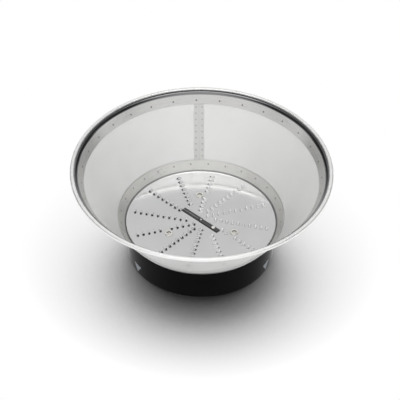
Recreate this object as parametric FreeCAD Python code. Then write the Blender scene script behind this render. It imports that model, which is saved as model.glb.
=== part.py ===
"""Filter basket of a centrifugal juicer: a mesh cone over a cutting disc and a moulded drive base.

Millimetres and degrees. +Z is up, the origin is the middle of the face that the basket stands on,
and the front is -Y. Angles run anticlockwise seen from above, from +X.
"""
import FreeCAD, Part
import math
import os

Vector = FreeCAD.Vector

# Whole basket
basket_height = 76.3
cone_half_angle = 35.5
band_sheet = 0.6

# Rolled rim at the top of the upper band
upper_band_depth = 9.0
bend_radius = 3.3
hem_height = 2.2
flange_run = 1.95
hem_return = 1.2
hem_curl_angle = 110.0

# Mesh sheet, and the strap behind its butt joint
mesh_sheet = 0.3
mesh_overlap = 4.0
mesh_columns = 24
mesh_rows = 5
mesh_opening_share = 0.52
mesh_margin_angle = 4.0
seam_angle = 91.8
seam_gap_angle = 0.2
strap_sheet = 0.4
strap_width = 7.7

# Pan below the mesh
lower_band_rise = 8.9
pan_corner_radius = 1.5
pad_radius = 5.2
pad_slope = 0.8

# Cutting disc
disc_radius = 55.3
disc_sheet = 0.8
disc_edge_round = 0.7
disc_edge_gap = 0.15
disc_lift = 1.2

# Punched teeth, in straight rows that pass the axis at one side
tooth_rows = 12
tooth_row_phase = 17.6
tooth_row_offset = 3.0
teeth_per_row = 11
tooth_outer_run = 49.0
tooth_pitch = 4.3
tooth_width = 2.3
tooth_height = 1.6
tooth_tail = 2.8
tooth_lean = 0.25
tooth_wall = 0.32
tooth_hole_reach = 1.6
tooth_rivet_gap = 2.2
tooth_blade_side_gap = 4.1
tooth_blade_end_gap = 1.2

# Blade across the middle of the disc
blade_length = 35.3
blade_width = 4.2
blade_height = 0.6
blade_angle = 137.6
blade_edge_chamfer = 0.2
blade_bevel_width = 1.7
blade_bevel_depth = 0.35
end_stud_place = 12.3
end_stud_radius = 1.4
middle_stud_radius = 0.7
stud_crown = 0.25
stud_crown_round = 0.2
stud_tail_height = 0.5
stud_tail_overhang = 0.6
stud_gap = 0.03

# Hollow rivets through the disc, the pan and the base
rivet_count = 3
rivet_circle = 27.6
rivet_phase = 92.4
rivet_head_radius = 2.95
rivet_head_height = 0.6
rivet_head_round = 0.3
rivet_shank_radius = 2.3
rivet_dish_radius = 1.75
rivet_dish_depth = 1.1
rivet_bore_radius = 1.5
rivet_tail_radius = 3.2
rivet_tail_height = 0.9
rivet_gap = 0.05
washer_radius = 4.5
washer_sheet = 0.8

# Moulded base
base_height = 24.1
skirt_inset = 0.3
skirt_draft = 1.4
skirt_wall = 2.4
skirt_edge_round = 0.8
web_thickness = 2.6
boss_gap = 0.1
outer_rib_count = 12
inner_rib_count = 3
rib_width = 1.8
rib_depth = 4.0

# Drive collar, its keys and the bush on the motor spindle
collar_washer_gap = 1.6
collar_wall = 2.5
collar_foot = 5.0
key_width = 7.0
key_reach = 4.0
key_height = 11.0
hub_wall = 3.0
hub_foot = 7.0
bush_length = 13.0
bush_wall = 1.6
spindle_radius = 4.0
spindle_running_gap = 0.05
spindle_depth = 11.0

# Latch tongues in windows of the drive collar
tongue_width = 8.0
tongue_thickness = 2.0
tongue_length = 12.0
tongue_side_gap = 0.5
knuckle_gap = 0.08
hook_reach = 1.8
hook_lead = 2.4
hook_land = 0.6
hook_back = 0.8

# Alignment arrows let into the skirt
arrow_width = 9.0
arrow_height = 6.8
arrow_tip_height = 1.6
arrow_depth = 0.4

# Room that a cutting tool has past the face that it leaves, and how near counts as the same place
tool_room = 1.0
same_place = 1e-4

# Worked out from the sizes above
origin = Vector(0, 0, 0)
up = Vector(0, 0, 1)
slope_sin = math.sin(math.radians(cone_half_angle))
slope_cos = math.cos(math.radians(cone_half_angle))
upper_band_height = basket_height - upper_band_depth
lower_band_height = base_height + lower_band_rise
floor_top = base_height + band_sheet
disc_under = floor_top + disc_lift
disc_top = disc_under + disc_sheet
blade_top = disc_top + blade_height
web_under = base_height - web_thickness
washer_under = web_under - washer_sheet
rivet_tail_under = washer_under - rivet_tail_height
rivet_hole_radius = rivet_shank_radius + rivet_gap
collar_radius = rivet_circle - washer_radius - collar_washer_gap
collar_inner_radius = collar_radius - collar_wall
collar_middle_radius = collar_radius - collar_wall / 2
spindle_bore_radius = spindle_radius + spindle_running_gap
bush_radius = spindle_bore_radius + bush_wall
hub_radius = bush_radius + hub_wall
hinge_height = collar_foot + tongue_length
thirds = [rivet_phase + 360.0 / rivet_count * place for place in range(rivet_count)]
between_thirds = [angle + 180.0 / rivet_count for angle in thirds]


def cone_radius(height, depth=0.0):
    """Radius of the cone's inner face at a height, or of a face that lies depth behind it."""
    rise = height - disc_under
    return disc_radius + disc_edge_gap + rise * slope_sin / slope_cos + depth / slope_cos


def cone_place(height, depth):
    """Point behind the cone's inner face, square to it from the point at that height."""
    return cone_radius(height) + depth * slope_cos, height - depth * slope_sin


class Run:
    """A straight stretch of the middle line of a sheet, in radius and height."""

    def __init__(self, start, end):
        self.start = Vector(start[0], 0, start[1])
        self.end = Vector(end[0], 0, end[1])

    def side(self, left):
        """Edge of the sheet, this far to the left of the way that the line runs."""
        along = (self.end - self.start).normalize()
        across = Vector(-along.z, 0, along.x) * left
        return Part.LineSegment(self.start + across, self.end + across).toShape()


class Bend:
    """A round stretch of the middle line of a sheet, between two angles about a centre."""

    def __init__(self, centre, radius, start_angle, end_angle):
        self.centre = Vector(centre[0], 0, centre[1])
        self.radius = radius
        self.angles = [start_angle, (start_angle + end_angle) / 2, end_angle]
        self.turns_left = end_angle > start_angle

    def side(self, left):
        """Edge of the sheet, this far to the left of the way that the line runs."""
        radius = self.radius - left if self.turns_left else self.radius + left
        turns = [math.radians(angle) for angle in self.angles]
        points = [self.centre + Vector(math.cos(turn), 0, math.sin(turn)) * radius for turn in turns]
        return Part.Arc(*points).toShape()


def sheet_section(stretches, thickness):
    """Section of a bent sheet around its middle line."""
    left = [stretch.side(thickness / 2) for stretch in stretches]
    right = [stretch.side(-thickness / 2) for stretch in stretches]
    first_cap = Part.LineSegment(left[0].firstVertex().Point, right[0].firstVertex().Point)
    last_cap = Part.LineSegment(left[-1].lastVertex().Point, right[-1].lastVertex().Point)
    edges = left + [last_cap.toShape()] + right + [first_cap.toShape()]
    return Part.Face(Part.Wire(Part.__sortEdges__(edges)))


def outline(points):
    """Straight-sided section from points in radius and height."""
    corners = [Vector(radius, 0, height) for radius, height in points]
    return Part.Face(Part.makePolygon(corners + corners[:1]))


def turned(section, sweep=360.0):
    """Turn a section about the basket's axis."""
    return section.revolve(origin, up, sweep)


def spun(shape, angle):
    """Copy of a shape, turned about the basket's axis."""
    copy = shape.copy()
    copy.rotate(origin, up, angle)
    return copy


def ring_of(shape, angles):
    """Copies of a shape around the basket's axis."""
    return [spun(shape, angle) for angle in angles]


def post(radius, low, high, place=0.0):
    """Upright cylinder between two heights, on the X axis at a distance from the middle."""
    return Part.makeCylinder(radius, high - low, Vector(place, 0, low))


def bar(near, far, width, low, high):
    """Box that lies along the X axis, centred across it."""
    return Part.makeBox(far - near, width, high - low, Vector(near, -width / 2, low))


def across_prism(points, width):
    """Prism with a section in radius and height, centred across the X axis."""
    prism = outline(points).extrude(Vector(0, width, 0))
    prism.translate(Vector(0, -width / 2, 0))
    return prism


def round_edge(shape, radius, height, size):
    """Round the circular edge that lies at a radius and a height."""
    def lies_there(edge):
        ends = [vertex.Point for vertex in edge.Vertexes]
        return all(abs(end.z - height) < same_place
                   and abs(math.hypot(end.x, end.y) - radius) < same_place for end in ends)
    return shape.makeFillet(size, [edge for edge in shape.Edges if lies_there(edge)])


def make_rim_ring():
    """Upper band, turned outward over a bend and rolled up into a flattened hem."""
    turn_radius = (hem_height - band_sheet) / 2
    bend_middle = bend_radius - band_sheet / 2
    flange_height = basket_height - hem_height + band_sheet / 2
    centre_height = flange_height - bend_middle
    bend_start_height = centre_height + bend_middle * slope_sin
    bend_start_radius = cone_radius(bend_start_height, band_sheet / 2)
    centre_radius = bend_start_radius + bend_middle * slope_cos
    flange_end = centre_radius + flange_run
    hem_end = flange_end - hem_return
    turn_height = flange_height + turn_radius
    stretches = [
        Run(cone_place(upper_band_height, band_sheet / 2), (bend_start_radius, bend_start_height)),
        Bend((centre_radius, centre_height), bend_middle, 180 - cone_half_angle, 90),
        Run((centre_radius, flange_height), (flange_end, flange_height)),
        Bend((flange_end, turn_height), turn_radius, -90, 90),
        Run((flange_end, turn_height + turn_radius), (hem_end, turn_height + turn_radius)),
        Bend((hem_end, turn_height), turn_radius, 90, 90 + hem_curl_angle),
    ]
    return turned(sheet_section(stretches, band_sheet))


def cone_sheet_section(thickness, depth):
    """Section of a sheet that lies behind both bands and overlaps them."""
    low = lower_band_height - mesh_overlap
    high = upper_band_height + mesh_overlap
    middle = depth + thickness / 2
    return sheet_section([Run(cone_place(low, middle), cone_place(high, middle))], thickness)


def mesh_openings():
    """A coarse grid of openings through the sheet, for the fine holes of the real mesh."""
    row_height = (upper_band_height - lower_band_height) / mesh_rows
    column_angle = (360.0 - 2 * mesh_margin_angle) / mesh_columns
    opening_angle = column_angle * mesh_opening_share
    middle = band_sheet + mesh_sheet / 2
    openings = []
    for row in range(mesh_rows):
        centre = lower_band_height + row_height * (row + 0.5)
        reach = row_height * mesh_opening_share / 2
        ends = [cone_place(centre - reach, middle), cone_place(centre + reach, middle)]
        opening = turned(sheet_section([Run(*ends)], mesh_sheet + tool_room), opening_angle)
        for column in range(mesh_columns):
            start = mesh_margin_angle + column_angle * (column + (1 - mesh_opening_share) / 2)
            openings.append(spun(opening, seam_angle + start))
    return openings


def make_mesh_cone():
    """Mesh sheet rolled into a cone, with a narrow butt gap and plain margins at the seam."""
    rolled = turned(cone_sheet_section(mesh_sheet, band_sheet), 360.0 - seam_gap_angle)
    return spun(rolled, seam_angle + seam_gap_angle / 2).cut(mesh_openings())


def make_seam_strap():
    """Strap of even width behind the butt joint."""
    quarter = 90.0
    wide = spun(turned(cone_sheet_section(strap_sheet, band_sheet + mesh_sheet), quarter), -quarter / 2)
    reach = cone_radius(basket_height, band_sheet + mesh_sheet + strap_sheet)
    return spun(wide.common(bar(0, reach, strap_width, 0, basket_height)), seam_angle)


def pad_section(lift):
    """Section of a pad pressed up out of the pan floor, from its middle to its foot."""
    top = pad_radius - pad_slope
    return outline([
        (0, floor_top + lift), (top, floor_top + lift), (pad_radius, floor_top),
        (pad_radius, base_height), (top, base_height + lift), (0, base_height + lift),
    ])


def make_base_pan():
    """Floor, corner and lower band in one pressing, with a raised pad at each rivet."""
    floor_middle = base_height + band_sheet / 2
    corner_end_height = floor_middle + pan_corner_radius * (1 - slope_sin)
    corner_end_radius = cone_radius(corner_end_height, band_sheet / 2)
    corner_radius = corner_end_radius - pan_corner_radius * slope_cos
    stretches = [
        Run((0, floor_middle), (corner_radius, floor_middle)),
        Bend((corner_radius, floor_middle + pan_corner_radius), pan_corner_radius, -90, -cone_half_angle),
        Run((corner_end_radius, corner_end_height), cone_place(lower_band_height, band_sheet / 2)),
    ]
    pan = turned(sheet_section(stretches, band_sheet))
    pad = turned(pad_section(disc_lift))
    pad.translate(Vector(rivet_circle, 0, 0))
    hole = post(pad_radius, base_height - tool_room, floor_top + tool_room, rivet_circle)
    rivet_hole = post(rivet_hole_radius, base_height, disc_under + tool_room, rivet_circle)
    pan = pan.cut(ring_of(hole, thirds))
    pan = pan.fuse(ring_of(pad, thirds))
    return pan.cut(ring_of(rivet_hole, thirds)).removeSplitter()


def tetrahedron(first, second, third, peak):
    """Solid with four flat sides."""
    corners = [(first, second, third), (first, second, peak), (second, third, peak), (third, first, peak)]
    faces = [Part.Face(Part.makePolygon([a, b, c, a])) for a, b, c in corners]
    return Part.Solid(Part.Shell(faces))


def tooth_nose():
    """Outside of one tooth: a raised nose, with its root sunk in the disc.

    X runs along the row, +Y is the way that the tooth travels, and z is 0 on the disc.
    """
    peak = Vector(0, tooth_lean, tooth_height)
    feet = [Vector(-tooth_width / 2, 0, 0), Vector(tooth_width / 2, 0, 0), Vector(0, -tooth_tail, 0)]
    sunk = 1 + disc_sheet / 2 / tooth_height
    return tetrahedron(*[peak + (foot - peak) * sunk for foot in feet], peak)


def tooth_hollow():
    """Inside of one tooth, open at the front, and the kite-shaped hole below it."""
    front = tooth_wall / 2
    half_width = tooth_width / 2 - tooth_wall
    tail = tooth_tail - 2 * tooth_wall
    left = Vector(-half_width, front, 0)
    right = Vector(half_width, front, 0)
    back = Vector(0, -tail, 0)
    peak = Vector(0, tooth_lean + front, tooth_height - tooth_wall)
    ahead = Vector(0, front + tooth_hole_reach, 0)
    kite = Part.Face(Part.makePolygon([left, ahead, right, back, left]))
    kite.translate(Vector(0, 0, -disc_sheet - tool_room))
    return [tetrahedron(left, right, back, peak), kite.extrude(Vector(0, 0, disc_sheet + tool_room))]


def tooth_places():
    """Place and turn of each tooth that stands clear of the rivets and the blade."""
    rivets = [spun(Part.Vertex(rivet_circle, 0, 0), angle).Point for angle in thirds]
    rivet_room = rivet_head_radius + tooth_rivet_gap
    blade_room = blade_width / 2 + tooth_blade_side_gap
    blade_end = blade_length / 2 + tooth_blade_end_gap
    places = []
    for row in range(tooth_rows):
        turn = tooth_row_phase + 360.0 / tooth_rows * row
        for step in range(teeth_per_row):
            run = tooth_outer_run - tooth_pitch * step
            point = spun(Part.Vertex(run, tooth_row_offset, 0), turn).Point
            on_blade = spun(Part.Vertex(point), -blade_angle).Point
            near_blade = abs(on_blade.x) < blade_end and abs(on_blade.y) < blade_room
            near_rivet = any(point.distanceToPoint(rivet) < rivet_room for rivet in rivets)
            if not near_blade and not near_rivet:
                places.append((point, turn))
    return places


def at_places(shape, places):
    """Copies of a tooth's shape on the disc."""
    copies = []
    for point, turn in places:
        copy = spun(shape, turn)
        copy.translate(Vector(point.x, point.y, disc_top))
        copies.append(copy)
    return copies


def stud_places():
    """Distance along the blade and radius of each stud."""
    return [(0.0, middle_stud_radius), (-end_stud_place, end_stud_radius)]


def stud_holes(low, high):
    """Room for the studs between two heights."""
    holes = [post(radius + stud_gap, low, high, place) for place, radius in stud_places()]
    return [spun(hole, blade_angle) for hole in holes]


def make_cutting_disc():
    """Flat disc with a rounded edge, rows of punched teeth and holes for the rivets and studs."""
    plate = round_edge(post(disc_radius, disc_under, disc_top), disc_radius, disc_top, disc_edge_round)
    places = tooth_places()
    hollow, hole_below = tooth_hollow()
    rivet_hole = post(rivet_hole_radius, disc_under - tool_room, disc_top + tool_room, rivet_circle)
    cuts = at_places(hollow, places) + at_places(hole_below, places)
    cuts += ring_of(rivet_hole, thirds)
    cuts += stud_holes(disc_under - tool_room, disc_top + tool_room)
    return plate.fuse(at_places(tooth_nose(), places)).cut(cuts).removeSplitter()


def make_centre_blade():
    """Bar across the disc, with a ground bevel on the leading edge of each half."""
    half = blade_length / 2
    side = blade_width / 2
    blank = bar(-half, half, blade_width, disc_top, blade_top)
    top_edges = [edge for edge in blank.Edges if abs(edge.BoundBox.ZMin - blade_top) < same_place]
    blank = blank.makeChamfer(blade_edge_chamfer, top_edges)
    inner = side - blade_bevel_width
    slope = blade_bevel_depth / blade_bevel_width
    corners = [
        Vector(0, inner, blade_top),
        Vector(0, side + tool_room, blade_top - (blade_bevel_width + tool_room) * slope),
        Vector(0, side + tool_room, blade_top + tool_room),
        Vector(0, inner, blade_top + tool_room),
    ]
    bevel = Part.Face(Part.makePolygon(corners + corners[:1])).extrude(Vector(half + tool_room, 0, 0))
    blade = spun(blank.cut(ring_of(bevel, [0, 180])), blade_angle)
    return blade.cut(stud_holes(disc_top - tool_room, blade_top + tool_room))


def make_blade_studs():
    """Studs through the blade and the disc, with a low crown above and a closed tail below."""
    studs = []
    for place, radius in stud_places():
        stud = post(radius, disc_under, blade_top + stud_crown, place)
        crown_edges = [edge for edge in stud.Edges
                       if edge.BoundBox.ZMin > blade_top + stud_crown / 2]
        stud = stud.makeFillet(stud_crown_round, crown_edges)
        tail = post(radius + stud_tail_overhang, disc_under - stud_tail_height, disc_under, place)
        studs.append(spun(stud.fuse(tail).removeSplitter(), blade_angle))
    return Part.makeCompound(studs)


def make_disc_rivets():
    """Hollow rivets with a dished head on the disc and a rolled tail under the washers."""
    head_top = disc_top + rivet_head_height
    rivet = turned(outline([
        (0, head_top), (rivet_head_radius, head_top), (rivet_head_radius, disc_top),
        (rivet_shank_radius, disc_top), (rivet_shank_radius, washer_under),
        (rivet_tail_radius, washer_under), (rivet_tail_radius, rivet_tail_under), (0, rivet_tail_under),
    ]))
    rivet = round_edge(rivet, rivet_head_radius, head_top, rivet_head_round)
    dish = post(rivet_dish_radius, head_top - rivet_dish_depth, head_top + tool_room)
    bore = post(rivet_bore_radius, rivet_tail_under - tool_room, web_under)
    rivet = rivet.cut([dish, bore])
    rivet.translate(Vector(rivet_circle, 0, 0))
    return Part.makeCompound(ring_of(rivet, thirds))


def make_rivet_washers():
    """Flat washers under the base's web."""
    washer = post(washer_radius, washer_under, web_under, rivet_circle)
    hole = post(rivet_hole_radius, washer_under - tool_room, web_under + tool_room, rivet_circle)
    return Part.makeCompound(ring_of(washer.cut(hole), thirds))


def skirt_radius(height):
    """Radius of the skirt's outer face, which narrows towards the foot."""
    top_radius = cone_radius(base_height, band_sheet) - skirt_inset
    return top_radius - (base_height - height) * math.tan(math.radians(skirt_draft))


def base_body():
    """Skirt, web, drive collar and hub, turned in one."""
    body = turned(outline([
        (0, base_height), (skirt_radius(base_height), base_height), (skirt_radius(0), 0),
        (skirt_radius(0) - skirt_wall, 0), (skirt_radius(web_under) - skirt_wall, web_under),
        (collar_radius, web_under), (collar_radius, collar_foot),
        (collar_inner_radius, collar_foot), (collar_inner_radius, web_under),
        (hub_radius, web_under), (hub_radius, hub_foot), (bush_radius, hub_foot),
        (bush_radius, hub_foot + bush_length), (0, hub_foot + bush_length),
    ]))
    body = round_edge(body, skirt_radius(base_height), base_height, skirt_edge_round)
    return round_edge(body, skirt_radius(0), 0, skirt_edge_round)


def arrow_prism():
    """Triangle that points down, extruded outward through the skirt."""
    top = arrow_tip_height + arrow_height
    inside = skirt_radius(0) - skirt_wall
    corners = [
        Vector(inside, -arrow_width / 2, top),
        Vector(inside, arrow_width / 2, top),
        Vector(inside, 0, arrow_tip_height),
    ]
    return Part.Face(Part.makePolygon(corners + corners[:1])).extrude(Vector(2 * skirt_wall, 0, 0))


def make_alignment_arrows():
    """Thin triangles let into the skirt, flush with its face."""
    core = turned(outline([
        (0, base_height), (skirt_radius(base_height) - arrow_depth, base_height),
        (skirt_radius(0) - arrow_depth, 0), (0, 0),
    ]))
    arrow = arrow_prism().common(base_body()).cut(core)
    return Part.makeCompound(ring_of(arrow, thirds))


def tongue_window():
    """Window in the collar around one tongue, with a round seat for its knuckle."""
    width = tongue_width + 2 * tongue_side_gap
    knuckle_radius = tongue_thickness / 2 + knuckle_gap
    slot = bar(collar_inner_radius - tool_room, collar_radius + tool_room, width,
               collar_foot - tool_room, hinge_height)
    seat = Part.makeCylinder(knuckle_radius, width, Vector(collar_middle_radius, -width / 2, hinge_height),
                             Vector(0, 1, 0))
    return slot.fuse(seat)


def make_drive_base():
    """Moulding with ribs, drive keys, rivet bosses, tongue windows and recesses for the arrows."""
    skirt_middle = skirt_radius(0) - skirt_wall / 2
    rib = bar(collar_middle_radius, skirt_middle, rib_width, web_under - rib_depth, web_under)
    inner_rib = bar(hub_radius - hub_wall / 2, collar_middle_radius, rib_width,
                    web_under - rib_depth, web_under)
    key = bar(collar_middle_radius, collar_radius + key_reach, key_width,
              collar_foot, collar_foot + key_height)
    boss_radius = pad_radius - pad_slope - boss_gap
    boss = post(boss_radius, web_under, base_height + disc_lift - boss_gap, rivet_circle)
    rivet_hole = post(rivet_hole_radius, web_under - tool_room, disc_under, rivet_circle)
    rib_angles = [rivet_phase + 360.0 / outer_rib_count * (place + 0.5) for place in range(outer_rib_count)]
    inner_rib_angles = [rivet_phase + 360.0 / inner_rib_count * place for place in range(inner_rib_count)]
    additions = ring_of(rib, rib_angles) + ring_of(inner_rib, inner_rib_angles)
    additions += ring_of(key, thirds) + ring_of(boss, thirds)
    base = base_body().fuse(additions).removeSplitter()
    base = base.cut(ring_of(rivet_hole, thirds) + ring_of(tongue_window(), between_thirds))
    return base.cut(make_alignment_arrows().Solids)


def make_hub_bush():
    """Plain metal bush with a blind bore for the motor spindle."""
    bush = post(bush_radius, hub_foot, hub_foot + bush_length)
    return bush.cut(post(spindle_bore_radius, hub_foot - tool_room, hub_foot + spindle_depth))


def make_latch_tongue(angle):
    """Tongue that hangs from a round knuckle and hooks outward at its foot."""
    inner = collar_middle_radius - tongue_thickness / 2
    outer = collar_middle_radius + tongue_thickness / 2
    tongue = bar(inner, outer, tongue_width, collar_foot, hinge_height)
    knuckle = Part.makeCylinder(tongue_thickness / 2, tongue_width,
                                Vector(collar_middle_radius, -tongue_width / 2, hinge_height),
                                Vector(0, 1, 0))
    land = collar_foot + hook_lead
    hook = across_prism([
        (collar_middle_radius, collar_foot), (outer, collar_foot), (outer + hook_reach, land),
        (outer + hook_reach, land + hook_land), (outer, land + hook_land + hook_back),
        (collar_middle_radius, land + hook_land + hook_back),
    ], tongue_width)
    return spun(tongue.fuse([knuckle, hook]).removeSplitter(), angle)


pieces = {
    "rim_ring": make_rim_ring(),
    "mesh_cone": make_mesh_cone(),
    "seam_strap": make_seam_strap(),
    "base_pan": make_base_pan(),
    "cutting_disc": make_cutting_disc(),
    "centre_blade": make_centre_blade(),
    "blade_studs": make_blade_studs(),
    "disc_rivets": make_disc_rivets(),
    "rivet_washers": make_rivet_washers(),
    "drive_base": make_drive_base(),
    "alignment_arrows": make_alignment_arrows(),
    "hub_bush": make_hub_bush(),
}
for number, angle in enumerate(between_thirds, start=1):
    pieces[f"latch_tongue_{number}"] = make_latch_tongue(angle)

os.makedirs("parts", exist_ok=True)
for name, shape in pieces.items():
    shape.exportStep(f"parts/{name}.step")
    print(f"{name}: {len(shape.Solids)} solids, {shape.Volume:.1f} cubic mm, valid {shape.isValid()}")
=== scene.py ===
"""Looks of the juicer filter basket: finishes, fine sheet pieces, stage, light and camera.

Metres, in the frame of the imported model: +Z up, the front of the basket towards -Y.
"""
import math

import bmesh
import bpy
from mathutils import Matrix, Vector


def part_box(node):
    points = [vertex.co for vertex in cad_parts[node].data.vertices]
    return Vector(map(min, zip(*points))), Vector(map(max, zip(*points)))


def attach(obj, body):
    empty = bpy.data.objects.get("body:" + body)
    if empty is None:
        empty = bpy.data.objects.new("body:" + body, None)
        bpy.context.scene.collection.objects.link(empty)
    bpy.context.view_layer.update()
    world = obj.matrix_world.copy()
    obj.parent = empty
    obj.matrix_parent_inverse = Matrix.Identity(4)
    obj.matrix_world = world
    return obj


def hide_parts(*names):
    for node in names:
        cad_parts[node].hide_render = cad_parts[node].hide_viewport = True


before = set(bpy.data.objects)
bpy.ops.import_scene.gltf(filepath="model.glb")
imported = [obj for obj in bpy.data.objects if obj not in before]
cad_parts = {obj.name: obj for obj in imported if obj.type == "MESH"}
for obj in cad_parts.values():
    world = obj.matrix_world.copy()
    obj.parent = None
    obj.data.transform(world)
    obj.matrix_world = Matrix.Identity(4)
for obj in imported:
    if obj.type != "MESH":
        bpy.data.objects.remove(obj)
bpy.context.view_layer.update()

MM = 0.001
FULL_TURN = 2.0 * math.pi
WHITE = (1.0, 1.0, 1.0)

# Camera, fitted to the rims of the basket in the photograph
VIEW_ELEVATION = math.radians(41.88)
VIEW_DISTANCE = 1.5
VIEW_AIM = Vector((-0.895, 0.0, 46.56)) * MM
VIEW_ROLL = math.radians(0.79)
LENS_MM = 185.16
SENSOR_MM = 36.0
NEAR_CLIP = 0.05


def make_camera():
    """Camera at the photograph's place, with a long lens and a slight roll."""
    towards = Vector((0.0, math.cos(VIEW_ELEVATION), -math.sin(VIEW_ELEVATION)))
    right = Vector((1.0, 0.0, 0.0))
    up = right.cross(towards)
    rolled_right = right * math.cos(VIEW_ROLL) + up * math.sin(VIEW_ROLL)
    rolled_up = up * math.cos(VIEW_ROLL) - right * math.sin(VIEW_ROLL)
    data = bpy.data.cameras.new("camera")
    data.lens = LENS_MM
    data.sensor_width = SENSOR_MM
    data.clip_start = NEAR_CLIP
    camera = bpy.data.objects.new("camera", data)
    bpy.context.scene.collection.objects.link(camera)
    axes = Matrix((rolled_right, rolled_up, -towards)).transposed().to_4x4()
    axes.translation = VIEW_AIM - towards * VIEW_DISTANCE
    camera.matrix_world = axes
    bpy.context.scene.camera = camera


# Where the colours are among the inputs and outputs of a Mix node
MIX_COLOURS = (6, 7)
MIX_RESULT = 2


def opaque(tone):
    """A grey value or a colour, as a colour with nothing see-through."""
    colour = tone if isinstance(tone, tuple) else (tone, tone, tone)
    return (*colour, 1.0)


class Nodes:
    """Short way to build a node tree."""

    def __init__(self, tree, output_kind):
        self.tree = tree
        tree.nodes.clear()
        self.output = self.add(output_kind)

    def add(self, kind, **values):
        """Add a node and set its properties, or its inputs where a name begins with in_."""
        node = self.tree.nodes.new(kind)
        for name, value in values.items():
            if name.startswith("in_"):
                key = name.removeprefix("in_")
                socket = node.inputs[int(key)] if key.isdigit() else node.inputs[key.replace("_", " ")]
                self.feed(socket, value)
            else:
                setattr(node, name, value)
        return node

    def feed(self, socket, value):
        """Give an input a link or a constant."""
        if isinstance(value, bpy.types.NodeSocket):
            self.tree.links.new(value, socket)
        else:
            socket.default_value = value

    def set_inputs(self, node, **values):
        """Feed a node's inputs by name."""
        for name, value in values.items():
            self.feed(node.inputs[name.replace("_", " ")], value)

    def show(self, shader):
        """Make a shader the one that the tree puts out."""
        self.feed(self.output.inputs["Surface"], shader.outputs[0])

    def math(self, operation, first, second=0.0):
        """One arithmetic step on sockets or numbers."""
        return self.add("ShaderNodeMath", operation=operation, in_0=first, in_1=second).outputs[0]

    def product(self, first, *others):
        """Several values multiplied."""
        for other in others:
            first = self.math("MULTIPLY", first, other)
        return first

    def distance(self, across, along):
        """Length of the slant of two distances at right angles."""
        squares = self.math("ADD", self.math("POWER", across, 2.0), self.math("POWER", along, 2.0))
        return self.math("SQRT", squares)

    def dot(self, first, second):
        """Dot product of two vectors."""
        node = self.add("ShaderNodeVectorMath", operation="DOT_PRODUCT", in_0=first, in_1=second)
        return node.outputs["Value"]

    def axes(self, vector):
        """Parts of a vector, by the names of the axes."""
        return self.add("ShaderNodeSeparateXYZ", in_Vector=vector).outputs

    def place(self):
        """Where a point is in the frame."""
        return self.add("ShaderNodeTexCoord").outputs["Object"]

    def height(self):
        """Height of a point above the foot of the basket."""
        return self.axes(self.place())["Z"]

    def noise(self, place, scale, detail, roughness=0.5):
        """Soft random value."""
        node = self.add("ShaderNodeTexNoise", in_Vector=place, in_Scale=scale, in_Detail=detail,
                        in_Roughness=roughness)
        return node.outputs["Fac"]

    def ramp(self, factor, *stops):
        """Tone that follows a factor, with stops of place and tone."""
        node = self.add("ShaderNodeValToRGB", in_Fac=factor)
        elements = node.color_ramp.elements
        while len(elements) < len(stops):
            elements.new(0.5)
        for element, (place, tone) in zip(elements, stops):
            element.position = place
            element.color = opaque(tone)
        return node.outputs[0]

    def spread(self, factor, stretch, tones):
        """Tone that goes from the first to the last of a pair over a stretch of a factor."""
        return self.ramp(factor, *zip(stretch, tones))

    def between(self, value, nothing, whole):
        """Smooth share of a value on its way between two limits."""
        node = self.add("ShaderNodeMapRange", interpolation_type="SMOOTHSTEP", in_0=value, in_1=nothing,
                        in_2=whole)
        return node.outputs[0]

    def past(self, value, start, softness):
        """Share that turns from nothing to one at a start, softly to each side of it."""
        return self.between(value, start - softness, start + softness)

    def blend(self, share, first, second):
        """Mix of two tones, each a link or a colour."""
        node = self.add("ShaderNodeMix", data_type="RGBA", in_0=share)
        for index, tone in zip(MIX_COLOURS, (first, second)):
            self.feed(node.inputs[index], opaque(tone) if isinstance(tone, tuple) else tone)
        return node.outputs[MIX_RESULT]

    def relief(self, shader, height, strength, depth, invert=False):
        """Fine relief on a finish, from a height value."""
        bump = self.add("ShaderNodeBump", invert=invert, in_Strength=strength, in_Distance=depth,
                        in_Height=height)
        self.set_inputs(shader, Normal=bump.outputs[0])


def new_material(name):
    """Material with its nodes and its shader."""
    material = bpy.data.materials.new(name)
    material.use_nodes = True
    nodes = Nodes(material.node_tree, "ShaderNodeOutputMaterial")
    shader = nodes.add("ShaderNodeBsdfPrincipled")
    nodes.show(shader)
    return material, nodes, shader


# Stretches of a noise value or a share that a pair of tones spreads over
WIDE = (0.3, 0.7)
NARROW = (0.35, 0.65)
HAZY = (0.3, 0.75)
WHOLE = (0.0, 1.0)

# Streaks that run round the basket, the depths of relief, and the usual gloss of a plastic
STREAK_TURNS = 6.0
STREAK_ROWS = 6000.0
PAN_STREAK_ROWS = 5000.0
STREAK_SHARE = 0.7
RELIEF_DEPTH = 0.02 * MM
WELD_DEPTH = 0.1 * MM
USUAL_SPECULAR = 0.5


def streaks_round(nodes, rows):
    """Fine streaks that run round the basket, about this many to a metre of height."""
    axes = nodes.axes(nodes.place())
    angle = nodes.math("ARCTAN2", axes["Y"], axes["X"])
    stretched = nodes.add("ShaderNodeCombineXYZ", in_X=nodes.product(angle, STREAK_TURNS),
                          in_Y=nodes.product(axes["Z"], rows))
    return nodes.noise(stretched.outputs[0], scale=1.0, detail=4.0, roughness=0.65)


def clouded(nodes, streaks, cloud_scale):
    """Streaks with broad clouds mixed in."""
    clouds = nodes.noise(nodes.place(), cloud_scale, detail=3.0)
    cloud_part = nodes.product(clouds, 1.0 - STREAK_SHARE)
    return nodes.math("ADD", nodes.product(streaks, STREAK_SHARE), cloud_part)


def haze_of(nodes):
    """Faint, broad haze of polished steel."""
    return nodes.noise(nodes.place(), scale=45.0, detail=5.0)


def add_wiping_marks(nodes, shader):
    """Faint marks of wiping on polished steel."""
    fine = nodes.noise(nodes.place(), scale=900.0, detail=2.0)
    nodes.relief(shader, fine, strength=0.03, depth=RELIEF_DEPTH)


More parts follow.
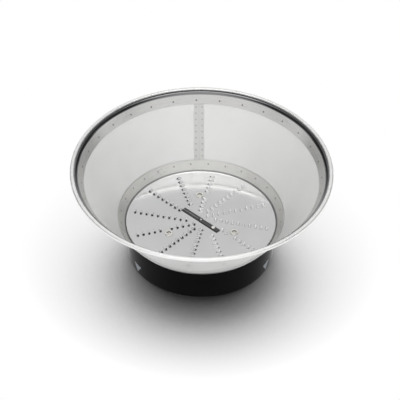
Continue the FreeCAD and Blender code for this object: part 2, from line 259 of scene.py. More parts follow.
def polished_steel(name, tones, roughness, metallic=1.0):
    """Bright steel with faint wiping marks."""
    material, nodes, shader = new_material(name)
    haze = haze_of(nodes)
    nodes.set_inputs(shader, Base_Color=nodes.spread(haze, WIDE, tones),
                     Roughness=nodes.spread(haze, HAZY, roughness), Metallic=metallic)
    add_wiping_marks(nodes, shader)
    return material


def moulded_plastic(name, tones, roughness, specular=USUAL_SPECULAR):
    """Moulded plastic with a faint grain."""
    material, nodes, shader = new_material(name)
    fine = nodes.noise(nodes.place(), scale=2500.0, detail=3.0)
    broad = nodes.noise(nodes.place(), scale=40.0, detail=3.0)
    nodes.set_inputs(shader, Base_Color=nodes.spread(broad, WIDE, tones),
                     Roughness=nodes.spread(broad, WIDE, roughness), Specular_IOR_Level=specular)
    nodes.relief(shader, fine, strength=0.05, depth=RELIEF_DEPTH)
    return material


# Places on the basket that its finishes follow
CONE_HALF_ANGLE = math.radians(35.5)
SEAM_ANGLE = math.radians(91.8)
STRAP_HALF_WIDTH = 3.85 * MM
DISC_TOP = 26.7 * MM
RIVET_COUNT = 3
RIVET_CIRCLE = 27.6 * MM
RIVET_PHASE = math.radians(92.4)

# Spot welds: rows on the two bands and pairs up the seam
WELD_RADIUS = 0.8 * MM
WELD_CORE = 0.55 * WELD_RADIUS
UPPER_WELDS = {
    "count": 31, "first": SEAM_ANGLE + math.radians(12.9), "height": 69.8 * MM, "radius": 86.5 * MM,
}
LOWER_WELDS = {
    "count": 28, "first": SEAM_ANGLE + math.radians(6.2), "height": 30.6 * MM, "radius": 58.6 * MM,
}
SEAM_WELD_OFFSET = 2.35 * MM
SEAM_WELD_LOW = 35.0 * MM
SEAM_WELD_STEP = 3.75 * MM


def radius_of(nodes):
    """Distance of a point from the basket's axis."""
    flat = nodes.add("ShaderNodeVectorMath", operation="MULTIPLY", in_0=nodes.place(), in_1=(1.0, 1.0, 0.0))
    return nodes.add("ShaderNodeVectorMath", operation="LENGTH", in_0=flat.outputs[0]).outputs["Value"]


def turned_axes(nodes, angle):
    """Parts of a point's place, with the X axis turned round the basket to an angle."""
    turned = nodes.add("ShaderNodeVectorRotate", rotation_type="Z_AXIS", in_Vector=nodes.place(),
                       in_Angle=-angle)
    return nodes.axes(turned.outputs[0])


def from_middle(nodes, value, step):
    """Distance of a value from the nearest of evenly spaced places."""
    return nodes.math("PINGPONG", value, 0.5 * step)


def from_ring(nodes, count, first, radius):
    """Distance round a circle from the nearest of evenly spaced places on it."""
    axes = turned_axes(nodes, first)
    angle = nodes.math("ARCTAN2", axes["Y"], axes["X"])
    return nodes.product(from_middle(nodes, angle, FULL_TURN / count), radius)


def from_seam(nodes):
    """Distance to either side of the seam's middle. The far half of the basket counts as a metre off."""
    axes = turned_axes(nodes, SEAM_ANGLE)
    at_seam = nodes.math("GREATER_THAN", axes["X"], 0.0)
    return nodes.math("ADD", nodes.math("ABSOLUTE", axes["Y"]), nodes.math("SUBTRACT", 1.0, at_seam))


def up_the_cone(nodes, rise):
    """Distance along the slope of the cone, from a rise in height."""
    return nodes.math("DIVIDE", rise, math.cos(CONE_HALF_ANGLE))


def weld_mark(nodes, across, along):
    """One inside a round weld mark, from the distances across and along to its middle."""
    return nodes.between(nodes.distance(across, along), WELD_RADIUS, WELD_CORE)


def ring_of_welds(nodes, count, first, height, radius):
    """Marks spaced evenly round the basket at one height."""
    rise = nodes.math("SUBTRACT", nodes.height(), height)
    return weld_mark(nodes, from_ring(nodes, count, first, radius), up_the_cone(nodes, rise))


def seam_welds(nodes):
    """Pairs of marks up the seam, one on each edge of the mesh sheet."""
    across = nodes.math("SUBTRACT", from_seam(nodes), SEAM_WELD_OFFSET)
    rise = from_middle(nodes, nodes.math("SUBTRACT", nodes.height(), SEAM_WELD_LOW), SEAM_WELD_STEP)
    return weld_mark(nodes, across, up_the_cone(nodes, rise))


# Mesh sheet's finish. Here and below, a pair of tones goes from dark to light
MESH_WIRES = ((0.765, 0.765, 0.753), (0.845, 0.845, 0.833))
MESH_MARGIN_SHADE = ((0.70, 0.70, 0.685), (0.78, 0.78, 0.765))
MESH_WELDS = (0.54, 0.53, 0.52)
MESH_ROUGHNESS = (0.46, 0.58)


def mesh_finish():
    """Pale steel of the mesh sheet, with its plain margin painted darker as shade and weld marks along the
    seam.
    """
    material, nodes, shader = new_material("mesh_steel")
    clouds = nodes.noise(nodes.place(), scale=35.0, detail=4.0)
    plain = nodes.math("LESS_THAN", from_seam(nodes), STRAP_HALF_WIDTH)
    wires = nodes.spread(clouds, WIDE, MESH_WIRES)
    # Plain margin painted darker, as shade where no light shows through the sheet
    margin_shade = nodes.spread(clouds, WIDE, MESH_MARGIN_SHADE)
    steel = nodes.blend(plain, wires, margin_shade)
    welds = seam_welds(nodes)
    nodes.set_inputs(shader, Base_Color=nodes.blend(welds, steel, MESH_WELDS),
                     Roughness=nodes.spread(clouds, WIDE, MESH_ROUGHNESS), Metallic=0.55,
                     Coat_Weight=0.5, Coat_Roughness=0.3)
    nodes.relief(shader, welds, strength=0.5, depth=WELD_DEPTH, invert=True)
    return material


# Rim sheet's finish: where the bend, its crease and the hem begin, and their tones, with painted shade in
# the crease and a painted highlight on the hem
BEND_START_HEIGHT = 73.2 * MM
BEND_SOFTNESS = 0.3 * MM
CREASE_RADIUS = 88.9 * MM
CREASE_SOFTNESS = 0.6 * MM
HEM_START_RADIUS = 91.9 * MM
HEM_SOFTNESS = 0.1 * MM
RIM_BAND = ((0.54, 0.535, 0.525), (0.68, 0.675, 0.66))
RIM_BEND = ((0.70, 0.70, 0.70), (0.78, 0.78, 0.78))
RIM_CREASE_SHADE = (0.24, 0.24, 0.245)
RIM_HEM_HIGHLIGHT = ((0.94, 0.94, 0.93), (0.98, 0.98, 0.97))
RIM_WELDS = (0.16, 0.155, 0.15)
RIM_BAND_ROUGHNESS = (0.24, 0.36)
RIM_BEND_ROUGHNESS = (0.07, 0.13)
RIM_HEM_ROUGHNESS = (0.26, 0.34)
METAL_OFF_AND_ON_HEM = (1.0, 0.6)
RELIEF_ON_BAND_AND_PAST_IT = (0.08, 0.0)


def rim_finish():
    """Rim sheet: brushed and welded on the band, mirror-bright over the bend with painted shade in its
    crease, and painted white on the hem as a highlight.
    """
    material, nodes, shader = new_material("rim_steel")
    on_bend = nodes.past(nodes.height(), BEND_START_HEIGHT, BEND_SOFTNESS)
    in_crease_shade = nodes.past(radius_of(nodes), CREASE_RADIUS, CREASE_SOFTNESS)
    on_hem = nodes.past(radius_of(nodes), HEM_START_RADIUS, HEM_SOFTNESS)
    streaks = streaks_round(nodes, STREAK_ROWS)
    haze = haze_of(nodes)
    band = nodes.spread(streaks, NARROW, RIM_BAND)
    # Painted shade in the crease of the bend; the hem painted white and less metallic as a highlight
    bend = nodes.blend(in_crease_shade, nodes.spread(haze, WIDE, RIM_BEND), RIM_CREASE_SHADE)
    steel = nodes.blend(on_hem, nodes.blend(on_bend, band, bend), nodes.spread(haze, WIDE, RIM_HEM_HIGHLIGHT))
    satin = nodes.spread(streaks, WIDE, RIM_BAND_ROUGHNESS)
    gloss = nodes.spread(haze, HAZY, RIM_BEND_ROUGHNESS)
    soft = nodes.spread(haze, HAZY, RIM_HEM_ROUGHNESS)
    nodes.set_inputs(shader, Base_Color=nodes.blend(ring_of_welds(nodes, **UPPER_WELDS), steel, RIM_WELDS),
                     Roughness=nodes.blend(on_hem, nodes.blend(on_bend, satin, gloss), soft),
                     Metallic=nodes.spread(on_hem, WHOLE, METAL_OFF_AND_ON_HEM))
    smooth = nodes.math("MAXIMUM", on_bend, on_hem)
    ridges = nodes.spread(smooth, WHOLE, RELIEF_ON_BAND_AND_PAST_IT)
    nodes.relief(shader, streaks, strength=ridges, depth=RELIEF_DEPTH)
    return material


# Disc's finish, which turns just above its flat top to that of the teeth, painted pale and less metallic as
# a highlight
TOOTH_FOOT = (DISC_TOP + 0.02 * MM, DISC_TOP + 0.08 * MM)
DISC_FLAT = ((0.77, 0.77, 0.77), (0.81, 0.81, 0.81))
DISC_TEETH_HIGHLIGHT = ((0.94, 0.94, 0.94), (0.98, 0.98, 0.98))
DISC_FLAT_ROUGHNESS = (0.09, 0.13)
DISC_TEETH_ROUGHNESS = (0.12, 0.16)
METAL_OFF_AND_ON_TEETH = (1.0, 0.3)
# Inside of the teeth painted dark as shade
TOOTH_HOLLOW_SHADE = ((0.22, 0.22, 0.22), (0.30, 0.30, 0.30))
SATIN_ROUGHNESS = (0.3, 0.4)


def disc_finish():
    """Bright, polished disc, with its punched teeth painted pale and satin as a highlight."""
    material, nodes, shader = new_material("disc_steel")
    on_tooth = nodes.between(nodes.height(), *TOOTH_FOOT)
    haze = haze_of(nodes)
    flat = nodes.spread(haze, WIDE, DISC_FLAT)
    # Teeth painted near white as a highlight
    painted_highlight_tone = nodes.spread(haze, WIDE, DISC_TEETH_HIGHLIGHT)
    gloss = nodes.spread(haze, HAZY, DISC_FLAT_ROUGHNESS)
    satin = nodes.spread(haze, HAZY, DISC_TEETH_ROUGHNESS)
    nodes.set_inputs(shader, Base_Color=nodes.blend(on_tooth, flat, painted_highlight_tone),
                     Roughness=nodes.blend(on_tooth, gloss, satin),
                     Metallic=nodes.spread(on_tooth, WHOLE, METAL_OFF_AND_ON_TEETH), Specular_IOR_Level=1.0)
    add_wiping_marks(nodes, shader)
    return material


def tooth_hollow_shade_finish():
    """Steel inside the teeth, painted dark as shade."""
    return polished_steel("tooth_hollow", TOOTH_HOLLOW_SHADE, SATIN_ROUGHNESS)


# Finish of the rivets and studs, with the height and the radius at which painted shade begins in a rivet's
# dish
DISH_RADIUS = 1.75 * MM
DISH_LIP = (DISC_TOP + 0.5 * MM, DISC_TOP + 0.35 * MM)
DISH_EDGE = (DISH_RADIUS + 0.15 * MM, DISH_RADIUS + 0.05 * MM)
CREAM_STEEL = ((0.86, 0.845, 0.79), (0.94, 0.925, 0.87))
CREAM_ROUGHNESS = (0.24, 0.34)
DISH_SHADE = (0.06, 0.058, 0.052)
RIVET_FLOOR = ((0.88, 0.865, 0.81), (0.96, 0.945, 0.89))


def from_rivet(nodes):
    """Distance from the axis of the nearest rivet."""
    across = from_ring(nodes, RIVET_COUNT, RIVET_PHASE, RIVET_CIRCLE)
    return nodes.distance(across, nodes.math("SUBTRACT", radius_of(nodes), RIVET_CIRCLE))


def rivet_finish():
    """Cream-tinted rivets, with a ring of painted shade just inside the dish of the head."""
    material, nodes, shader = new_material("rivet_steel")
    in_dish_shade = nodes.product(nodes.between(nodes.height(), *DISH_LIP),
                            nodes.between(from_rivet(nodes), *DISH_EDGE))
    haze = nodes.noise(nodes.place(), scale=200.0, detail=4.0)
    steel = nodes.spread(haze, WIDE, CREAM_STEEL)
    nodes.set_inputs(shader, Base_Color=nodes.blend(in_dish_shade, steel, DISH_SHADE),
                     Roughness=nodes.spread(haze, WIDE, CREAM_ROUGHNESS), Metallic=0.3)
    return material


def rivet_floor_finish():
    """Pale floors in the rivets' heads."""
    return polished_steel("rivet_floor", RIVET_FLOOR, SATIN_ROUGHNESS, metallic=0.2)


def stud_finish():
    """Cream-tinted studs, washers and bush."""
    return polished_steel("stud_steel", CREAM_STEEL, CREAM_ROUGHNESS, metallic=0.7)


# Blade's finish: the ways along and across it, where its coat is worn off, where highlights and shade are
# painted, and its tones
BLADE_TURN = math.radians(-42.4)
BLADE_WAY = Vector((math.cos(BLADE_TURN), math.sin(BLADE_TURN), 0.0))
BARE_EDGE_WAY = Vector((-math.sin(BLADE_TURN), math.cos(BLADE_TURN), 0.0))
BARE_EDGE = (1.7 * MM, 1.8 * MM)
BEVEL_LEAN = (-0.08, -0.14)
BEVEL_RIDGE = -0.4 * MM
RIDGE_EDGE = (0.2 * MM, 0.1 * MM)
RIDGE_END = (-2.0 * MM, -2.2 * MM)
BLADE_COAT = ((0.035, 0.035, 0.037), (0.060, 0.060, 0.063))
BLADE_BEVEL_SHADE = (0.008, 0.008, 0.009)
BLADE_RIDGE_HIGHLIGHT = (0.45, 0.45, 0.45)
BARE_STEEL_HIGHLIGHT = ((0.92, 0.92, 0.92), (0.98, 0.98, 0.98))
BLADE_COAT_ROUGHNESS = (0.26, 0.40)
BLADE_STEEL_ROUGHNESS = (0.42, 0.50)


def blade_finish():
    """Dark coat on the blade, worn to bare steel along its far edge and painted white there as a highlight,
    with a pale line painted along one bevel's ridge as a highlight and painted shade on the bevels' faces.
    """
    material, nodes, shader = new_material("blade_coat")
    place = nodes.place()
    facing = nodes.add("ShaderNodeNewGeometry").outputs["True Normal"]
    on_shaded_bevel = nodes.between(nodes.dot(facing, BARE_EDGE_WAY), *BEVEL_LEAN)
    across = nodes.dot(place, BARE_EDGE_WAY)
    bare_and_highlit_edge = nodes.between(across, *BARE_EDGE)
    off_ridge = nodes.math("ABSOLUTE", nodes.math("SUBTRACT", across, BEVEL_RIDGE))
    on_ridge_highlight = nodes.product(nodes.between(off_ridge, *RIDGE_EDGE),
                             nodes.between(nodes.dot(place, BLADE_WAY), *RIDGE_END))
    grain = nodes.noise(place, scale=900.0, detail=3.0)
    # Painted shade on bevel faces that lean one way; painted highlights on one bevel's ridge and on the
    # bare far edge
    coat_with_bevel_shade = nodes.blend(on_shaded_bevel, nodes.spread(grain, WIDE, BLADE_COAT), BLADE_BEVEL_SHADE)
    painted_highlight_tone = nodes.blend(on_ridge_highlight, coat_with_bevel_shade, BLADE_RIDGE_HIGHLIGHT)
    dull = nodes.spread(grain, WIDE, BLADE_COAT_ROUGHNESS)
    satin = nodes.spread(grain, WIDE, BLADE_STEEL_ROUGHNESS)
    nodes.set_inputs(shader, Base_Color=nodes.blend(bare_and_highlit_edge, painted_highlight_tone, nodes.spread(grain, WIDE, BARE_STEEL_HIGHLIGHT)),
                     Roughness=nodes.blend(bare_and_highlit_edge, dull, satin), Coat_Weight=0.3, Coat_Roughness=0.3)
    nodes.relief(shader, grain, strength=0.05, depth=RELIEF_DEPTH)
    return material


# Finish of the pan and of the seam's strap, with painted shade in the gap round the disc
GAP_SHADE = (DISC_TOP + 0.35 * MM, DISC_TOP + 0.175 * MM)
PAN_STEEL = ((0.66, 0.655, 0.635), (0.82, 0.815, 0.79))
PAN_WELDS = (0.38, 0.37, 0.36)
PAN_GAP_SHADE = (0.38, 0.38, 0.38)
PAN_ROUGHNESS = (0.24, 0.40)
STRAP_STEEL = ((0.60, 0.595, 0.58), (0.74, 0.735, 0.72))
STRAP_ROUGHNESS = (0.22, 0.38)


def pan_finish():
    """Brushed steel of the pan and its band, with a row of weld marks and painted shade in the gap round
    the disc.
    """
    material, nodes, shader = new_material("pan_steel")
    streaks = streaks_round(nodes, PAN_STREAK_ROWS)
    mixed = clouded(nodes, streaks, cloud_scale=70.0)
    steel = nodes.spread(mixed, NARROW, PAN_STEEL)
    marked = nodes.blend(ring_of_welds(nodes, **LOWER_WELDS), steel, PAN_WELDS)
    in_gap_shade = nodes.between(nodes.height(), *GAP_SHADE)
    nodes.set_inputs(shader, Base_Color=nodes.blend(in_gap_shade, marked, PAN_GAP_SHADE),
                     Roughness=nodes.spread(mixed, WIDE, PAN_ROUGHNESS), Metallic=0.6)
    nodes.relief(shader, streaks, strength=0.1, depth=RELIEF_DEPTH)
    return material


def strap_finish():
    """Brushed steel of the strap behind the seam."""
    material, nodes, shader = new_material("band_steel")
    streaks = streaks_round(nodes, STREAK_ROWS)
    mixed = clouded(nodes, streaks, cloud_scale=60.0)
    nodes.set_inputs(shader, Base_Color=nodes.spread(mixed, NARROW, STRAP_STEEL),
                     Roughness=nodes.spread(mixed, WIDE, STRAP_ROUGHNESS), Metallic=1.0)
    nodes.relief(shader, streaks, strength=0.12, depth=RELIEF_DEPTH)
    return material


# Plastics
BASE_BLACK = ((0.0015, 0.0015, 0.002), (0.003, 0.003, 0.0035))
BASE_ROUGHNESS = (0.12, 0.22)
BASE_SPECULAR = 0.03
LATCH_BLACK = ((0.02, 0.02, 0.022), (0.035, 0.035, 0.037))
LATCH_ROUGHNESS = (0.35, 0.5)
ARROW_GREY = ((0.18, 0.2, 0.23), (0.25, 0.27, 0.30))
ARROW_ROUGHNESS = (0.4, 0.55)


def base_finish():
    """Deep black moulding of the drive base."""
    return moulded_plastic("black_moulding", BASE_BLACK, BASE_ROUGHNESS, specular=BASE_SPECULAR)


def latch_finish():
    """Black plastic of the latch tongues."""
    return moulded_plastic("latch_plastic", LATCH_BLACK, LATCH_ROUGHNESS)


def arrow_finish():
    """Grey inlay of the alignment arrows."""
    return moulded_plastic("arrow_grey", ARROW_GREY, ARROW_ROUGHNESS)


def dress_all(disc):
    """Finishes of the CAD nodes that stay."""
    stud = stud_finish()
    latch = latch_finish()
    finishes = {
        "seam_strap": strap_finish(), "base_pan": pan_finish(), "cutting_disc": disc,
        "centre_blade": blade_finish(), "blade_studs": stud, "disc_rivets": rivet_finish(),
        "rivet_washers": stud, "drive_base": base_finish(), "alignment_arrows": arrow_finish(),
        "hub_bush": stud, "latch_tongue_1": latch, "latch_tongue_2": latch, "latch_tongue_3": latch,
    }
    for node, material in finishes.items():
        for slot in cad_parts[node].material_slots:
            slot.material = material


def mesh_of_points(name, points, faces):
    """Mesh from lists of points and faces."""
    mesh = bpy.data.meshes.new(name)
    mesh.from_pydata(points, [], faces)
    return mesh


def mesh_of_build(name, build):
    """Mesh from a finished bmesh, which is freed."""
    mesh = bpy.data.meshes.new(name)
    build.to_mesh(mesh)
    build.free()
    return mesh


def new_piece(mesh, *materials):
    """Object in the scene for a mesh, with its finishes."""
    for material in materials:
        mesh.materials.append(material)
    piece = bpy.data.objects.new(mesh.name, mesh)
    bpy.context.scene.collection.objects.link(piece)
    return piece


def shade(mesh, sharp_angle):
    """Smooth shading, with the edges past an angle kept sharp."""
    mesh.shade_smooth()
    mesh.set_sharp_from_angle(angle=math.radians(sharp_angle))


# Rim sheet, in section: band, bend, flange and rolled hem
BAND_SHEET = 0.6 * MM
BEND_RADIUS = 3.3 * MM
FLANGE_RUN = 1.95 * MM
HEM_HEIGHT = 2.2 * MM
HEM_RETURN = 1.2 * MM
HEM_CURL = 110.0
ROUND_STEPS = 14
TURN_STEPS = 288


def arc(centre, radius, first, last, side):
    """Round stretch of a sheet's middle line: its points, and the way across the sheet at each."""
    stretch = []
    for step in range(ROUND_STEPS + 1):
        angle = math.radians(first + (last - first) * step / ROUND_STEPS)
        way = Vector((math.cos(angle), math.sin(angle)))
        stretch.append((Vector(centre) + radius * way, side * way))
    return stretch


def rim_section():
    """Closed outline of the rim sheet, in radius and height."""
    low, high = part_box("rim_ring")
    half = 0.5 * BAND_SHEET
    slope = math.degrees(CONE_HALF_ANGLE)
    turn_radius = 0.5 * HEM_HEIGHT - half
    bend_middle = BEND_RADIUS - half
    flange_end = high[0] - 0.5 * HEM_HEIGHT
    turn_height = high[2] - 0.5 * HEM_HEIGHT
    bend_centre = (flange_end - FLANGE_RUN, turn_height - turn_radius - bend_middle)
    bend = arc(bend_centre, bend_middle, 180.0 - slope, 90.0, 1.0)
    top_of_band, across = bend[0]
    foot_height = low[2] + half * math.sin(CONE_HALF_ANGLE)
    foot_radius = top_of_band.x - (top_of_band.y - foot_height) * math.tan(CONE_HALF_ANGLE)
    middle = [(Vector((foot_radius, foot_height)), across)] + bend
    middle += arc((flange_end, turn_height), turn_radius, -90.0, 90.0, -1.0)
    middle += arc((flange_end - HEM_RETURN, turn_height), turn_radius, 90.0, 90.0 + HEM_CURL, -1.0)
    inner = [point + half * way for point, way in middle]
    outer = [point - half * way for point, way in middle]
    return inner + outer[::-1]


def make_rim(material):
    """Rim sheet turned finely enough for clean reflections in the bend."""
    section = rim_section()
    count = len(section)
    points = []
    for step in range(TURN_STEPS):
        angle = FULL_TURN * step / TURN_STEPS
        points += [(p.x * math.cos(angle), p.x * math.sin(angle), p.y) for p in section]
    faces = []
    for step in range(TURN_STEPS):
        here = step * count
        there = (step + 1) % TURN_STEPS * count
        for place in range(count):
            after = (place + 1) % count
            faces.append([here + after, here + place, there + place, there + after])
    mesh = mesh_of_points("rim_sheet", points, faces)
    shade(mesh, sharp_angle=40.0)
    rim = new_piece(mesh, material)
    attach(rim, "basket")
    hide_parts("rim_ring")


# Perforated zone of the mesh sheet
MESH_SHEET = 0.3 * MM
MESH_LOW = 33.0 * MM
MESH_HIGH = 67.3 * MM
HOLE_COLUMNS = 740
HOLE_ROWS = 68
WIRE_SHARE = 0.48
SEAM_GAP = math.radians(0.2)


class Cone:
    """Middle face of the mesh sheet, which collects flat pieces cut out of it."""

    def __init__(self):
        low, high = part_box("mesh_cone")
        rise = 0.5 * MESH_SHEET * math.sin(CONE_HALF_ANGLE)
        self.foot = low[2] + rise
        self.top = high[2] - rise
        self.top_radius = high[0] - 0.5 * MESH_SHEET * math.cos(CONE_HALF_ANGLE)
        self.points = []
        self.faces = []

    def radius(self, height):
        """Radius of the cone at a height."""
        return self.top_radius - (self.top - height) * math.tan(CONE_HALF_ANGLE)

    def patch(self, first_angle, last_angle, low, high):
        """One four-sided piece between two angles and two heights."""
        first = len(self.points)
        corners = ((first_angle, low), (last_angle, low), (last_angle, high), (first_angle, high))
        for angle, height in corners:
            radius = self.radius(height)
            self.points.append((radius * math.cos(angle), radius * math.sin(angle), height))
        self.faces.append([first, first + 1, first + 2, first + 3])


def make_mesh_sheet(material):
    """Mesh sheet of fine bars with real holes, plain behind the bands and along the seam."""
    cone = Cone()
    pitch = (FULL_TURN - SEAM_GAP) / HOLE_COLUMNS
    row_height = (MESH_HIGH - MESH_LOW) / HOLE_ROWS
    half_bar = 0.5 * WIRE_SHARE * row_height
    for column in range(HOLE_COLUMNS):
        angle = SEAM_ANGLE + 0.5 * SEAM_GAP + column * pitch
        bar_end = angle + WIRE_SHARE * pitch
        cone.patch(angle, angle + pitch, cone.foot, MESH_LOW)
        cone.patch(angle, angle + pitch, MESH_HIGH, cone.top)
        cone.patch(angle, bar_end, MESH_LOW, MESH_HIGH)
        off_seam = min(column + 0.5, HOLE_COLUMNS - column - 0.5) * pitch
        for row in range(HOLE_ROWS):
            middle = MESH_LOW + (row + 0.5) * row_height
            plain = off_seam * cone.radius(middle) < STRAP_HALF_WIDTH
            reach = 0.5 * row_height if plain else half_bar
            cone.patch(bar_end, angle + pitch, middle - reach, middle + reach)
    sheet = new_piece(mesh_of_points("mesh_sheet", cone.points, cone.faces), material)
    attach(sheet, "basket")
    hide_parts("mesh_cone")


# Rounded noses of the punched teeth, one over each nose of the disc
NOSE_WIDTH = 2.3 * MM
NOSE_HEIGHT = 1.6 * MM
NOSE_TAIL = 2.8 * MM
NOSE_WALL = 0.25 * MM
NOSE_LEAN = 0.25 * MM
NOSE_ROW_OFFSET = 3.0 * MM
NOSE_STEPS = 6
NOSE_ARCH_STEPS = 10
PEAK_SHARE = 0.97
HOLLOW_SLOT = 1
SAME_POINT = 0.001 * MM


def tooth_peaks():
    """Place of each tooth's peak on the disc."""
    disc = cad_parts["cutting_disc"]
    peaks = {}
    for vertex in disc.data.vertices:
        place = disc.matrix_world @ vertex.co
        if place.z > DISC_TOP + PEAK_SHARE * NOSE_HEIGHT:
            peaks[round(place.x / MM), round(place.y / MM)] = place
    return list(peaks.values())


def nose_skin(thinner):
    """Rows of points over one nose, from its mouth to its tail, set in by a thickness."""
    half_width = 0.5 * NOSE_WIDTH - thinner
    height = NOSE_HEIGHT - thinner
    tail = NOSE_TAIL - thinner
    arch = [math.pi * part / NOSE_ARCH_STEPS for part in range(NOSE_ARCH_STEPS + 1)]
    rows = []
    for step in range(NOSE_STEPS + 1):
        along = 0.5 * math.pi * step / NOSE_STEPS
        rows.append([Vector((half_width * math.cos(along) * math.cos(up),
                             NOSE_LEAN * math.cos(along) * math.sin(up) - tail * math.sin(along),
                             height * math.cos(along) * math.sin(up))) for up in arch])
    return rows


def add_nose_skin(build, peak, thinner):
    """Rows of vertices over the nose of the tooth with this peak."""
    sideways = math.asin((NOSE_ROW_OFFSET + NOSE_LEAN) / peak.xy.length)
    turn = Matrix.Rotation(math.atan2(peak.y, peak.x) - sideways, 3, "Z")
    foot = Vector((peak.x, peak.y, DISC_TOP)) - turn @ Vector((0.0, NOSE_LEAN, 0.0))
    return [[build.verts.new(foot + turn @ point) for point in row] for row in nose_skin(thinner)]


def skin_corners(skin, step, part):
    """Four corners of one face of a skin."""
    return [skin[step][part], skin[step][part + 1], skin[step + 1][part + 1], skin[step + 1][part]]


def add_nose(build, peak):
    """One hollow nose: its outer skin, its inner skin and the edges between them."""
    over = add_nose_skin(build, peak, 0.0)
    under = add_nose_skin(build, peak, NOSE_WALL)
    for step in range(NOSE_STEPS):
        for part in range(NOSE_ARCH_STEPS):
            build.faces.new(skin_corners(over, step, part))
            hollow = build.faces.new(skin_corners(under, step, part)[::-1])
            hollow.material_index = HOLLOW_SLOT
        for edge in (0, NOSE_ARCH_STEPS):
            corners = [over[step][edge], over[step + 1][edge], under[step + 1][edge], under[step][edge]]
            build.faces.new(corners if edge == 0 else corners[::-1])
    for part in range(NOSE_ARCH_STEPS):
        build.faces.new([over[0][part + 1], over[0][part], under[0][part], under[0][part + 1]])


def make_tooth_noses(material, hollow_material):
    """Rounded, hollow noses, open towards the way that the disc turns."""
    build = bmesh.new()
    for peak in tooth_peaks():
        add_nose(build, peak)
    bmesh.ops.remove_doubles(build, verts=build.verts, dist=SAME_POINT)
    bmesh.ops.recalc_face_normals(build, faces=build.faces)
    mesh = mesh_of_build("tooth_noses", build)
    shade(mesh, sharp_angle=50.0)
    noses = new_piece(mesh, material, hollow_material)
    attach(noses, "basket")


# Dished floors in the rivets' heads, resting on the step where each bore begins
RIVET_STEP = DISC_TOP - 0.5 * MM
FLOOR_RADIUS = 1.72 * MM
FLOOR_SHEET = 0.1 * MM
FLOOR_DISH = 0.1 * MM
FLOOR_RINGS = 4
FLOOR_SIDES = 32


def add_ring(build, middle, radius, height):
    """Ring of vertices round a place, at a height above it."""
    turns = [FULL_TURN * side / FLOOR_SIDES for side in range(FLOOR_SIDES)]
    return [build.verts.new(middle + Vector((radius * math.cos(turn), radius * math.sin(turn), height)))
            for turn in turns]


def add_rivet_floor(build, middle):
    """One closed, dished floor."""
    rings = [add_ring(build, middle, FLOOR_RADIUS, 0.0)]
    for ring in range(FLOOR_RINGS, 0, -1):
        share = ring / FLOOR_RINGS
        rings.append(add_ring(build, middle, FLOOR_RADIUS * share, FLOOR_SHEET + FLOOR_DISH * share ** 2))
    build.faces.new(rings[0][::-1])
    build.faces.new(rings[-1])
    for lower, upper in zip(rings, rings[1:]):
        for side in range(FLOOR_SIDES):
            after = (side + 1) % FLOOR_SIDES
            build.faces.new([lower[side], lower[after], upper[after], upper[side]])


def make_rivet_floors(material):
    """Pale floors that show in the rivets' heads."""
    build = bmesh.new()
    for place in range(RIVET_COUNT):
        turn = RIVET_PHASE + FULL_TURN * place / RIVET_COUNT
        across = Vector((RIVET_CIRCLE * math.cos(turn), RIVET_CIRCLE * math.sin(turn), 0.0))
        add_rivet_floor(build, across + Vector((0.0, 0.0, RIVET_STEP)))
    mesh = mesh_of_build("rivet_floors", build)
    shade(mesh, sharp_angle=40.0)
    floors = new_piece(mesh, material)
    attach(floors, "basket")


# Studio floor, and the tone of the painted shadow on it by the share of open sky above
STUDIO_HALF = 3.0
STUDIO_TONE = 0.9
SHADOW_REACH = 0.08
SHADOW_LEAN = Vector((0.0, 0.9, 0.0))
SHADOW_SAMPLES = 32
SHADOW_TONES = ((0.25, 0.02), (0.30, 0.05), (0.41, 0.16), (0.48, 0.26), (0.545, 0.44), (0.67, 0.70),
                (0.80, 0.88), (0.97, 1.0))
MIRRORED_LIFT = 0.9


def shown_rays(nodes):
    """One for rays of the camera, and of metal and glass, which show the white background."""
    path = nodes.add("ShaderNodeLightPath").outputs
    mirrored = nodes.math("MAXIMUM", path["Is Glossy Ray"], path["Is Transmission Ray"])
    return nodes.math("MAXIMUM", path["Is Camera Ray"], mirrored)


def shadow_tone(nodes):
    """Tone of the floor under the basket, a painted shadow that falls towards the front."""
    facing = nodes.add("ShaderNodeNewGeometry").outputs["Normal"]
    leant = nodes.add("ShaderNodeVectorMath", operation="ADD", in_0=facing, in_1=SHADOW_LEAN).outputs[0]
    lit_from = nodes.add("ShaderNodeVectorMath", operation="NORMALIZE", in_0=leant).outputs[0]
    open_sky = nodes.add("ShaderNodeAmbientOcclusion", samples=SHADOW_SAMPLES, in_Distance=SHADOW_REACH,
                         in_Normal=lit_from).outputs["AO"]
    return nodes.ramp(open_sky, *SHADOW_TONES)


def floor_finish():
    """White floor that keeps the shadow in the light it passes on, shown with a painted shadow, nearly
    plain white in metal, and clear from below.
    """
    material, nodes, shader = new_material("floor_white")
    nodes.set_inputs(shader, Base_Color=opaque(STUDIO_TONE), Roughness=0.9, Specular_IOR_Level=0.1)
    in_metal = nodes.add("ShaderNodeLightPath").outputs["Is Glossy Ray"]
    tone = nodes.blend(nodes.product(in_metal, MIRRORED_LIFT), shadow_tone(nodes), WHITE)
    plain = nodes.add("ShaderNodeEmission", in_Color=tone, in_Strength=1.0)
    above = nodes.add("ShaderNodeMixShader", in_0=shown_rays(nodes), in_1=shader.outputs[0],
                      in_2=plain.outputs[0])
    below = nodes.add("ShaderNodeBsdfTransparent")
    from_below = nodes.add("ShaderNodeNewGeometry").outputs["Backfacing"]
    nodes.show(nodes.add("ShaderNodeMixShader", in_0=from_below, in_1=above.outputs[0],
                         in_2=below.outputs[0]))
    return material


def make_floor():
    """White studio floor."""
    build = bmesh.new()
    corners = [(-1, -1), (1, -1), (1, 1), (-1, 1)]
    build.faces.new([build.verts.new((x * STUDIO_HALF, y * STUDIO_HALF, 0.0)) for x, y in corners])
    floor = new_piece(mesh_of_build("floor", build), floor_finish())


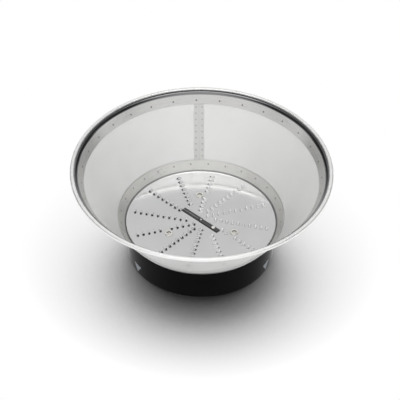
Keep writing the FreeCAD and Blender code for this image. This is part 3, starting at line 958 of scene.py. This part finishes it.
# Tent of light: levels of its parts
LOW_LEVEL = 1.24
SIDE_LEVEL = 1.04
CEILING_LEVEL = 1.0
SHOWN_LEVEL = 1.0
GAP_LEVEL = 0.064
BACK_LEVEL = 0.67
TOP_LEVEL = 3.2

# Tent of light: where each part begins and where it is whole, along one axis of a direction
SIDE_ASIDE = (0.45, 0.85)
CEILING_RISE = (0.75, 0.95)
STRIP_ASIDE = (0.28, 0.08)
STRIP_RISE = (0.74, 0.86)
STRIP_BACK = (0.2, 0.34)
GAP_ASIDE = (0.08, 0.28)
GAP_RISE = (0.33, 0.58)
GAP_BACK = (-0.55, -0.2)
GAP_TOP = (0.96, 0.91)
CORNER_ASIDE = (0.3, 0.5)
CORNER_RISE = (0.03, 0.22)
CORNER_BACK = (0.1, 0.4)

# Tent of light: the dimmer patch behind, as a way and the angles from it
BACK_WAY = Vector((0.0, 0.745, 0.667))
BACK_EDGE = math.radians(22.0)
BACK_CORE = math.radians(10.0)


def box_share(nodes, axes, aside_limits, rise_limits, back_limits):
    """Share of a part of the tent that is bounded aside, upwards and towards the back."""
    aside = nodes.math("ABSOLUTE", axes["X"])
    return nodes.product(nodes.between(aside, *aside_limits), nodes.between(axes["Z"], *rise_limits),
                         nodes.between(axes["Y"], *back_limits))


def dim_gaps(nodes, axes):
    """Share of the dim gaps: high on each side, and in the corners behind."""
    high = box_share(nodes, axes, GAP_ASIDE, GAP_RISE, GAP_BACK)
    corner = box_share(nodes, axes, CORNER_ASIDE, CORNER_RISE, CORNER_BACK)
    return nodes.product(nodes.math("MAXIMUM", high, corner), nodes.between(axes["Z"], *GAP_TOP))


def dim_back(nodes, way):
    """Share of the patch behind: one in its core, nothing past its edge."""
    return nodes.between(nodes.dot(way, BACK_WAY.normalized()), math.cos(BACK_EDGE), math.cos(BACK_CORE))


def nearer(nodes, level, share, target):
    """Level moved by a share towards a target."""
    mix = nodes.add("ShaderNodeMix", data_type="FLOAT", in_0=share, in_2=level, in_3=target)
    return mix.outputs[0]


def make_world():
    """White tent with a bright strip overhead, dim gaps on each side and a dimmer patch behind.

    The camera sees plain white. Metal and glass see white with the strip, the gaps and the patch.
    """
    world = bpy.data.worlds.new("tent")
    bpy.context.scene.world = world
    world.use_nodes = True
    nodes = Nodes(world.node_tree, "ShaderNodeOutputWorld")
    way = nodes.add("ShaderNodeTexCoord").outputs["Generated"]
    axes = nodes.axes(way)
    side = nodes.between(nodes.math("ABSOLUTE", axes["X"]), *SIDE_ASIDE)
    ceiling = nodes.between(axes["Z"], *CEILING_RISE)
    strip = box_share(nodes, axes, STRIP_ASIDE, STRIP_RISE, STRIP_BACK)
    unseen = nodes.math("SUBTRACT", 1.0, nodes.add("ShaderNodeLightPath").outputs["Is Camera Ray"])
    level = LOW_LEVEL
    for share, target in ((side, SIDE_LEVEL), (ceiling, CEILING_LEVEL), (shown_rays(nodes), SHOWN_LEVEL)):
        level = nearer(nodes, level, share, target)
    for share, target in ((dim_gaps(nodes, axes), GAP_LEVEL), (dim_back(nodes, way), BACK_LEVEL),
                          (strip, TOP_LEVEL)):
        level = nearer(nodes, level, nodes.product(share, unseen), target)
    nodes.show(nodes.add("ShaderNodeBackground", in_Color=opaque(WHITE), in_Strength=level))


def main():
    """Camera, light and stage, then the finishes and the new pieces."""
    bpy.context.scene.view_settings.view_transform = "Standard"
    make_camera()
    make_world()
    make_floor()
    disc = disc_finish()
    dress_all(disc)
    make_tooth_noses(disc, tooth_hollow_shade_finish())
    make_rim(rim_finish())
    make_mesh_sheet(mesh_finish())
    make_rivet_floors(rivet_floor_finish())


main()
